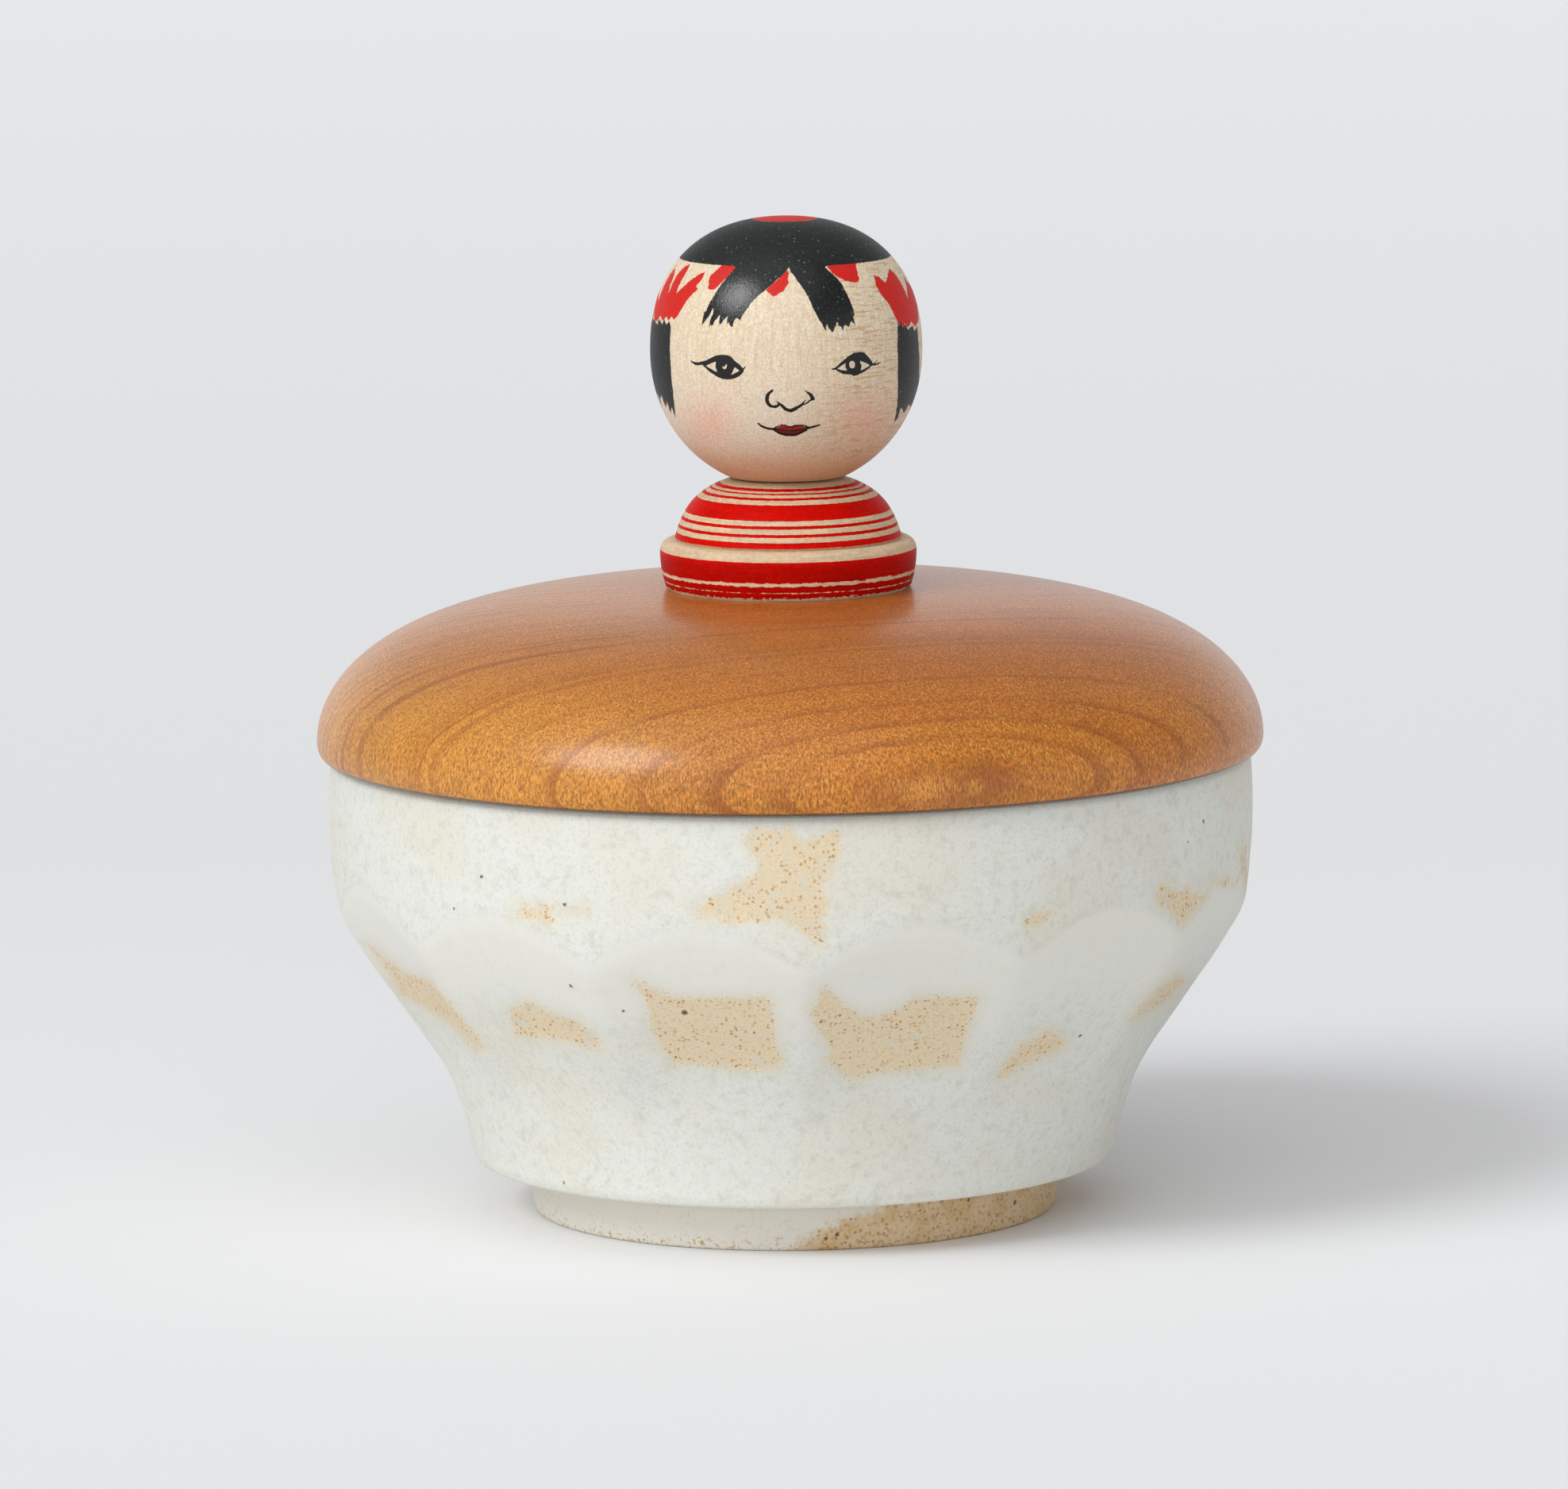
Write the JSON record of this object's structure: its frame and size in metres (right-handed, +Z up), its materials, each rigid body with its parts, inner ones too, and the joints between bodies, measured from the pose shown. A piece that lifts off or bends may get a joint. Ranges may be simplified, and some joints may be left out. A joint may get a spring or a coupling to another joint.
{
  "type": "lidded ceramic container",
  "caption": "Round footed stoneware bowl with cut facets and a domed turned-wood lid whose knob is a small turned wooden doll with a head that turns.",
  "frame": {"origin": "centre of the foot ring's underside, where the bowl stands", "axes": "+Z up along the turning axis of bowl, lid and doll; the doll looks along -Y; +X is to its left hand, the viewer's right"},
  "size_m": [0.12, 0.12, 0.1263],
  "materials": {
    "glazed_stoneware": "matte white glaze with bare tan clay patches and iron specks",
    "lid_wood": "turned cherry-like wood, oiled, satin",
    "dowel_wood": "bare hardwood peg",
    "doll_body_paint": "pale turned wood with brushed red bands under wax",
    "doll_head_wood": "pale turned wood with brush-painted hair and face under wax"
  },
  "bodies": {
    "bowl": {"bowl": "glazed_stoneware"},
    "lid": {"lid": "lid_wood", "lid_dowel": "dowel_wood", "doll_body": "doll_body_paint"},
    "head": {"doll_head": "doll_head_wood"}
  },
  "joints": [
    {"name": "lid_lift", "type": "slide", "parent": "bowl", "child": "lid", "axis": [0, 0, 1], "range_m": [0, 0.1]},
    {"name": "head_turn", "type": "hinge", "parent": "lid", "child": "head", "pos_m": [0, 0, 0.0933], "axis": [0, 0, 1], "continuous": true}
  ]
}
